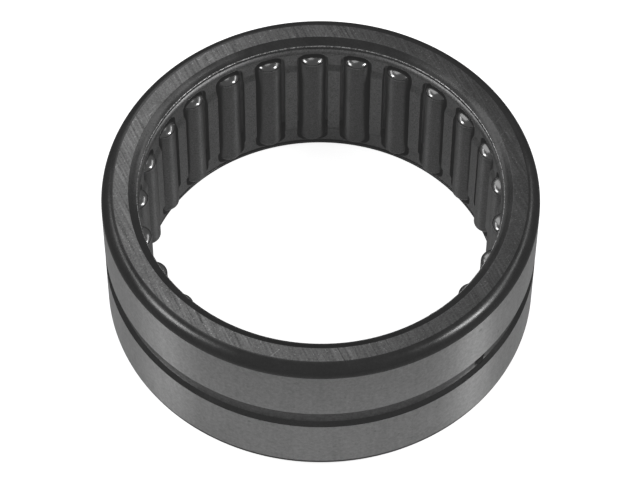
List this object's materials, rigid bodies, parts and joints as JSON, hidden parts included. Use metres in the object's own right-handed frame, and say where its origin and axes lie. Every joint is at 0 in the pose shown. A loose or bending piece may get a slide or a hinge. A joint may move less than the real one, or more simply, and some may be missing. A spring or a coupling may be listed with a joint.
{
  "type": "needle roller bearing",
  "caption": "Caged needle roller bearing without an inner ring: lipped outer ring with an oil groove, window cage and domed rollers.",
  "frame": {"origin": "centre of the bearing: on its axis, midway between the two end faces", "axes": "+Z along the bearing's axis, towards the end face that lies uppermost; the oil hole is in the -Y +X quarter"},
  "size_m": [0.0952, 0.0952, 0.0382],
  "materials": {
    "ring_steel": "ground bearing steel, dark and lightly oiled",
    "cage_steel": "satin pressed steel",
    "roller_steel": "polished bearing steel"
  },
  "bodies": {
    "outer_ring": {"outer_ring": "ring_steel"},
    "cage": {"cage": "cage_steel"},
    "roller_01": {"roller_01": "roller_steel"},
    "roller_02": {"roller_02": "roller_steel"},
    "roller_03": {"roller_03": "roller_steel"},
    "roller_04": {"roller_04": "roller_steel"},
    "roller_05": {"roller_05": "roller_steel"},
    "roller_06": {"roller_06": "roller_steel"},
    "roller_07": {"roller_07": "roller_steel"},
    "roller_08": {"roller_08": "roller_steel"},
    "roller_09": {"roller_09": "roller_steel"},
    "roller_10": {"roller_10": "roller_steel"},
    "roller_11": {"roller_11": "roller_steel"},
    "roller_12": {"roller_12": "roller_steel"},
    "roller_13": {"roller_13": "roller_steel"},
    "roller_14": {"roller_14": "roller_steel"},
    "roller_15": {"roller_15": "roller_steel"},
    "roller_16": {"roller_16": "roller_steel"},
    "roller_17": {"roller_17": "roller_steel"},
    "roller_18": {"roller_18": "roller_steel"},
    "roller_19": {"roller_19": "roller_steel"},
    "roller_20": {"roller_20": "roller_steel"},
    "roller_21": {"roller_21": "roller_steel"},
    "roller_22": {"roller_22": "roller_steel"},
    "roller_23": {"roller_23": "roller_steel"},
    "roller_24": {"roller_24": "roller_steel"},
    "roller_25": {"roller_25": "roller_steel"}
  },
  "joints": [
    {"name": "cage_spin", "type": "hinge", "parent": "outer_ring", "child": "cage", "pos_m": [0, 0, 0], "axis": [0, 0, 1], "continuous": true},
    {"name": "roller_01_spin", "type": "hinge", "parent": "cage", "child": "roller_01", "pos_m": [-0.00212, 0.04044, 0], "axis": [0, 0, 1], "continuous": true},
    {"name": "roller_02_spin", "type": "hinge", "parent": "cage", "child": "roller_02", "pos_m": [0.00801, 0.0397, 0], "axis": [0, 0, 1], "continuous": true},
    {"name": "roller_03_spin", "type": "hinge", "parent": "cage", "child": "roller_03", "pos_m": [0.01763, 0.03646, 0], "axis": [0, 0, 1], "continuous": true},
    {"name": "roller_04_spin", "type": "hinge", "parent": "cage", "child": "roller_04", "pos_m": [0.02614, 0.03093, 0], "axis": [0, 0, 1], "continuous": true},
    {"name": "roller_05_spin", "type": "hinge", "parent": "cage", "child": "roller_05", "pos_m": [0.03301, 0.02346, 0], "axis": [0, 0, 1], "continuous": true},
    {"name": "roller_06_spin", "type": "hinge", "parent": "cage", "child": "roller_06", "pos_m": [0.03781, 0.01451, 0], "axis": [0, 0, 1], "continuous": true},
    {"name": "roller_07_spin", "type": "hinge", "parent": "cage", "child": "roller_07", "pos_m": [0.04023, 0.00465, 0], "axis": [0, 0, 1], "continuous": true},
    {"name": "roller_08_spin", "type": "hinge", "parent": "cage", "child": "roller_08", "pos_m": [0.04013, -0.0055, 0], "axis": [0, 0, 1], "continuous": true},
    {"name": "roller_09_spin", "type": "hinge", "parent": "cage", "child": "roller_09", "pos_m": [0.0375, -0.0153, 0], "axis": [0, 0, 1], "continuous": true},
    {"name": "roller_10_spin", "type": "hinge", "parent": "cage", "child": "roller_10", "pos_m": [0.03251, -0.02415, 0], "axis": [0, 0, 1], "continuous": true},
    {"name": "roller_11_spin", "type": "hinge", "parent": "cage", "child": "roller_11", "pos_m": [0.02549, -0.03147, 0], "axis": [0, 0, 1], "continuous": true},
    {"name": "roller_12_spin", "type": "hinge", "parent": "cage", "child": "roller_12", "pos_m": [0.01686, -0.03682, 0], "axis": [0, 0, 1], "continuous": true},
    {"name": "roller_13_spin", "type": "hinge", "parent": "cage", "child": "roller_13", "pos_m": [0.00717, -0.03986, 0], "axis": [0, 0, 1], "continuous": true},
    {"name": "roller_14_spin", "type": "hinge", "parent": "cage", "child": "roller_14", "pos_m": [-0.00297, -0.04039, 0], "axis": [0, 0, 1], "continuous": true},
    {"name": "roller_15_spin", "type": "hinge", "parent": "cage", "child": "roller_15", "pos_m": [-0.01292, -0.03838, 0], "axis": [0, 0, 1], "continuous": true},
    {"name": "roller_16_spin", "type": "hinge", "parent": "cage", "child": "roller_16", "pos_m": [-0.02206, -0.03397, 0], "axis": [0, 0, 1], "continuous": true},
    {"name": "roller_17_spin", "type": "hinge", "parent": "cage", "child": "roller_17", "pos_m": [-0.02981, -0.02741, 0], "axis": [0, 0, 1], "continuous": true},
    {"name": "roller_18_spin", "type": "hinge", "parent": "cage", "child": "roller_18", "pos_m": [-0.03569, -0.01914, 0], "axis": [0, 0, 1], "continuous": true},
    {"name": "roller_19_spin", "type": "hinge", "parent": "cage", "child": "roller_19", "pos_m": [-0.03933, -0.00966, 0], "axis": [0, 0, 1], "continuous": true},
    {"name": "roller_20_spin", "type": "hinge", "parent": "cage", "child": "roller_20", "pos_m": [-0.0405, 0.00042, 0], "axis": [0, 0, 1], "continuous": true},
    {"name": "roller_21_spin", "type": "hinge", "parent": "cage", "child": "roller_21", "pos_m": [-0.03912, 0.01048, 0], "axis": [0, 0, 1], "continuous": true},
    {"name": "roller_22_spin", "type": "hinge", "parent": "cage", "child": "roller_22", "pos_m": [-0.03528, 0.01988, 0], "axis": [0, 0, 1], "continuous": true},
    {"name": "roller_23_spin", "type": "hinge", "parent": "cage", "child": "roller_23", "pos_m": [-0.02923, 0.02803, 0], "axis": [0, 0, 1], "continuous": true},
    {"name": "roller_24_spin", "type": "hinge", "parent": "cage", "child": "roller_24", "pos_m": [-0.02134, 0.03442, 0], "axis": [0, 0, 1], "continuous": true},
    {"name": "roller_25_spin", "type": "hinge", "parent": "cage", "child": "roller_25", "pos_m": [-0.01211, 0.03865, 0], "axis": [0, 0, 1], "continuous": true}
  ],
  "couplings": [
    {"joint": "roller_01_spin", "follows": "cage_spin", "ratio": -14.7},
    {"joint": "roller_02_spin", "follows": "cage_spin", "ratio": -14.7},
    {"joint": "roller_03_spin", "follows": "cage_spin", "ratio": -14.7},
    {"joint": "roller_04_spin", "follows": "cage_spin", "ratio": -14.7},
    {"joint": "roller_05_spin", "follows": "cage_spin", "ratio": -14.7},
    {"joint": "roller_06_spin", "follows": "cage_spin", "ratio": -14.7},
    {"joint": "roller_07_spin", "follows": "cage_spin", "ratio": -14.7},
    {"joint": "roller_08_spin", "follows": "cage_spin", "ratio": -14.7},
    {"joint": "roller_09_spin", "follows": "cage_spin", "ratio": -14.7},
    {"joint": "roller_10_spin", "follows": "cage_spin", "ratio": -14.7},
    {"joint": "roller_11_spin", "follows": "cage_spin", "ratio": -14.7},
    {"joint": "roller_12_spin", "follows": "cage_spin", "ratio": -14.7},
    {"joint": "roller_13_spin", "follows": "cage_spin", "ratio": -14.7},
    {"joint": "roller_14_spin", "follows": "cage_spin", "ratio": -14.7},
    {"joint": "roller_15_spin", "follows": "cage_spin", "ratio": -14.7},
    {"joint": "roller_16_spin", "follows": "cage_spin", "ratio": -14.7},
    {"joint": "roller_17_spin", "follows": "cage_spin", "ratio": -14.7},
    {"joint": "roller_18_spin", "follows": "cage_spin", "ratio": -14.7},
    {"joint": "roller_19_spin", "follows": "cage_spin", "ratio": -14.7},
    {"joint": "roller_20_spin", "follows": "cage_spin", "ratio": -14.7},
    {"joint": "roller_21_spin", "follows": "cage_spin", "ratio": -14.7},
    {"joint": "roller_22_spin", "follows": "cage_spin", "ratio": -14.7},
    {"joint": "roller_23_spin", "follows": "cage_spin", "ratio": -14.7},
    {"joint": "roller_24_spin", "follows": "cage_spin", "ratio": -14.7},
    {"joint": "roller_25_spin", "follows": "cage_spin", "ratio": -14.7}
  ]
}
